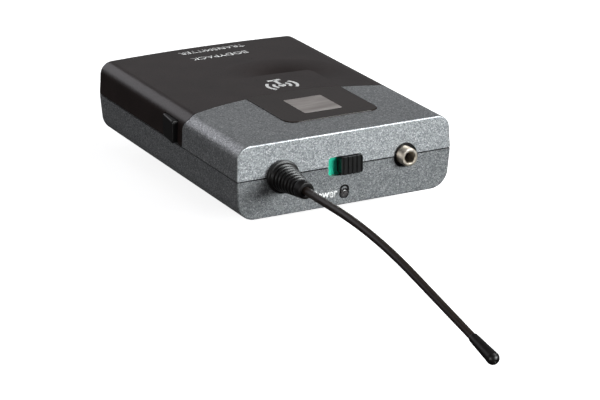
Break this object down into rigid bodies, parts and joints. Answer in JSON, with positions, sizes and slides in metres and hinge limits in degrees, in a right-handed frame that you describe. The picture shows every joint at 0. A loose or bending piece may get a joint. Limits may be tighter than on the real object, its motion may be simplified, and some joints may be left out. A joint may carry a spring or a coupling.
{
  "type": "wireless bodypack transmitter",
  "caption": "Belt-worn wireless microphone transmitter: two-part housing, hinged battery cover, whip antenna, mute slide, locking jack and wire belt clip.",
  "frame": {"origin": "centre of the housing's flat back", "axes": "+X across the pack, to the right seen from the connector end; +Y along the pack, away from the connector end; +Z out of the front, which carries the display"},
  "size_m": [0.0792, 0.2382, 0.0316],
  "materials": {
    "shell_grey": "metallic grey paint on moulded plastic, fine flake",
    "cover_black": "fine spark-eroded black plastic",
    "window_black": "polished smoked plastic",
    "display_glass": "grey liquid crystal, switched off",
    "dark_plastic": "satin black plastic",
    "tray_plastic": "satin black plastic",
    "black_rubber": "semi-matt black rubber",
    "whip_jacket": "smooth black jacket",
    "nickel": "bright nickel plate",
    "spring_steel": "bright spring wire",
    "screw_steel": "black zinc",
    "contact_metal": "tinned spring bronze",
    "brass": "turned brass",
    "board_green": "green solder mask",
    "chip_black": "moulded chip package",
    "shield_tin": "tinned steel",
    "cell_sleeve": "printed shrink sleeve",
    "button_grey": "satin grey plastic",
    "indicator_green": "bright green plate",
    "lens_smoke": "smoked clear plastic",
    "lamp": "lamp chip",
    "cable_amber": "polyimide film"
  },
  "bodies": {
    "housing": {"back_shell": "shell_grey", "front_shell": "shell_grey", "hinge_pin": "spring_steel", "display_window": "window_black", "display_glass": "display_glass", "display_frame": "dark_plastic", "display_cable": "cable_amber", "main_board": "board_green", "board_chips": "chip_black", "radio_shield": "shield_tin", "housing_screws": "screw_steel", "board_screws": "screw_steel", "tray_screws": "screw_steel", "tact_switches": "dark_plastic", "battery_tray": "tray_plastic", "aa_cell_left": "cell_sleeve", "aa_cell_right": "cell_sleeve", "battery_springs": "contact_metal", "battery_plates": "contact_metal", "antenna_boot": "black_rubber", "antenna_ferrule": "brass", "antenna_contact": "contact_metal", "jack_bushing": "nickel", "jack_body": "dark_plastic", "jack_contacts": "contact_metal", "mute_indicator": "indicator_green", "mute_switch_body": "dark_plastic", "lamp_lens": "lens_smoke", "lamp_chip": "lamp"},
    "cover": {"battery_cover": "cover_black", "catch_spring_left": "contact_metal", "catch_spring_right": "contact_metal"},
    "left_catch": {"catch_left": "dark_plastic"},
    "right_catch": {"catch_right": "dark_plastic"},
    "mute_switch": {"mute_knob": "dark_plastic"},
    "power_key": {"power_button": "button_grey"},
    "set_key": {"set_button": "button_grey"},
    "rocker_key": {"rocker": "button_grey"},
    "antenna": {"antenna_whip": "whip_jacket", "antenna_core": "brass", "antenna_tip": "black_rubber"},
    "clip": {"belt_clip": "spring_steel"}
  },
  "joints": [
    {"name": "cover_hinge", "type": "hinge", "parent": "housing", "child": "cover", "pos_m": [0, 0.0511, 0.01735], "axis": [-1, 0, 0], "range_deg": [0, 90]},
    {"name": "left_catch_push", "type": "slide", "parent": "cover", "child": "left_catch", "axis": [1, 0, 0], "range_m": [0, 0.0012], "stiffness_N_per_m": 400, "deforming": ["catch_spring_left"]},
    {"name": "right_catch_push", "type": "slide", "parent": "cover", "child": "right_catch", "axis": [-1, 0, 0], "range_m": [0, 0.0012], "stiffness_N_per_m": 400, "deforming": ["catch_spring_right"]},
    {"name": "mute_slide", "type": "slide", "parent": "housing", "child": "mute_switch", "axis": [-1, 0, 0], "range_m": [0, 0.0037]},
    {"name": "power_push", "type": "slide", "parent": "housing", "child": "power_key", "axis": [0, 0, -1], "range_m": [0, 0.00035], "stiffness_N_per_m": 400},
    {"name": "set_push", "type": "slide", "parent": "housing", "child": "set_key", "axis": [0, 0, -1], "range_m": [0, 0.00035], "stiffness_N_per_m": 400},
    {"name": "rocker_tip", "type": "hinge", "parent": "housing", "child": "rocker_key", "pos_m": [0.022, 0.008, 0.0155], "axis": [1, 0, 0], "range_deg": [-3, 3], "stiffness_Nm_per_rad": 0.05},
    {"name": "antenna_bend", "type": "hinge", "parent": "housing", "child": "antenna", "pos_m": [-0.0225, -0.0596, 0.0133], "axis": [1, 0, 0], "range_deg": [-45, 45], "stiffness_Nm_per_rad": 0.12, "deforming": ["antenna_boot"]},
    {"name": "clip_spring", "type": "hinge", "parent": "housing", "child": "clip", "pos_m": [0, -0.039, -0.0029], "axis": [-1, 0, 0], "range_deg": [0, 18], "stiffness_Nm_per_rad": 1}
  ]
}
